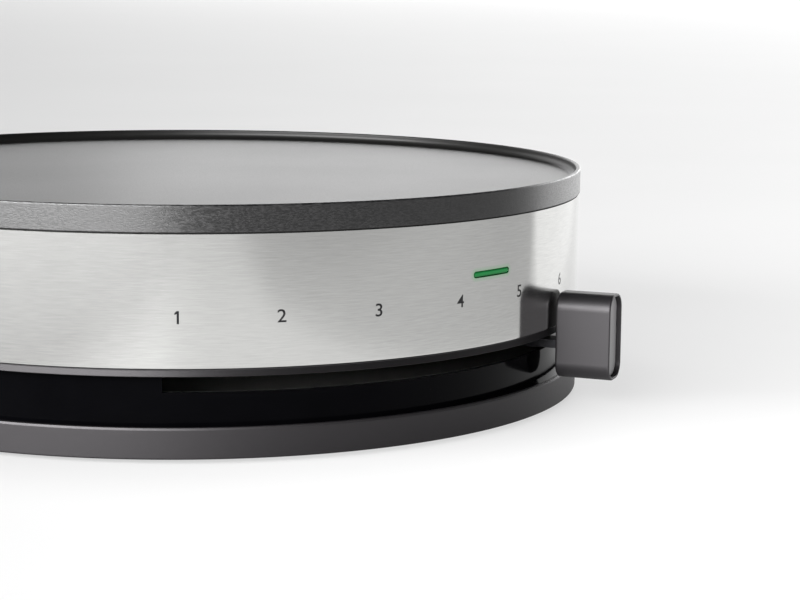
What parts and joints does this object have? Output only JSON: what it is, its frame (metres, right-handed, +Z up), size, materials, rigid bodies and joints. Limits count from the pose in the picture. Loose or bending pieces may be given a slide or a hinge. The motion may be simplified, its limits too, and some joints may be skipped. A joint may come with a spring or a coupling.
{
  "type": "electric crepe maker",
  "caption": "Round countertop crepe maker: rimmed cast hot plate on a housing with a brushed steel band, a recess below it, and a temperature lever that sweeps round the recess.",
  "frame": {"origin": "on the table, under the centre of the hot plate; the flat underside is 2 mm above it", "axes": "+Z up, -Y to the front, towards temperature mark 1, +Y to the cord inlet at the back, +X to the right"},
  "size_m": [0.3376, 0.331, 0.0947],
  "materials": {
    "plate_coating": "satin non-stick coating over cast aluminium, edge turned",
    "heater_sheath": "dull oxidised sheath",
    "ceramic": "unglazed ceramic",
    "plated_steel": "zinc plated",
    "seal": "black heat-resistant seal",
    "shield_sheet": "aluminised sheet",
    "brushed_steel": "brushed along the band",
    "satin_trim": "satin dark grey lacquer",
    "gloss_black": "high gloss black",
    "matte_black": "fine spark texture",
    "rubber": "matte",
    "brass": "plain",
    "glass_fibre": "woven sleeve",
    "green_lens": "glossy translucent green",
    "lamp_glass": "clear",
    "white_plastic": "heat-resistant moulding",
    "satin_knob": "satin metallic dark grey",
    "knob_plate": "satin metallic dark grey",
    "arm_steel": "black oxide"
  },
  "bodies": {
    "housing": {"hot_plate": "plate_coating", "heating_element": "heater_sheath", "heater_collars": "ceramic", "heater_tabs": "plated_steel", "plate_gasket": "seal", "heat_shield": "shield_sheet", "shield_washers": "ceramic", "plate_screws": "plated_steel", "steel_band": "brushed_steel", "upper_housing": "satin_trim", "recess_wall": "gloss_black", "base_tray": "gloss_black", "base_ring": "satin_trim", "base_cover": "matte_black", "rubber_feet": "rubber", "base_screws": "plated_steel", "thermostat_frame": "plated_steel", "thermostat_bushing": "brass", "thermostat_beads": "ceramic", "contact_blades": "brass", "thermostat_rivet": "plated_steel", "thermostat_screws": "plated_steel", "bimetal_strip": "brass", "thermal_fuse": "brass", "fuse_sleeve": "glass_fibre", "fuse_clamp": "plated_steel", "fuse_screw": "plated_steel", "indicator_lens": "green_lens", "indicator_lamp": "lamp_glass", "lamp_holder": "white_plastic", "terminal_block": "ceramic", "terminal_screws": "plated_steel", "earth_tab": "brass", "earth_screw": "brass", "cord_gland": "matte_black", "gland_nut": "matte_black"},
    "lever": {"knob_grip": "satin_knob", "knob_cap": "knob_plate", "knob_screw": "plated_steel", "lever_arm": "arm_steel", "lever_hub": "white_plastic", "hub_screws": "plated_steel", "thrust_washer": "white_plastic", "hub_clip": "plated_steel", "thermostat_spindle": "plated_steel"}
  },
  "joints": [
    {"name": "temperature", "type": "hinge", "parent": "housing", "child": "lever", "pos_m": [0, 0, 0.028], "axis": [0, 0, 1], "range_deg": [-65.2, 0]}
  ]
}
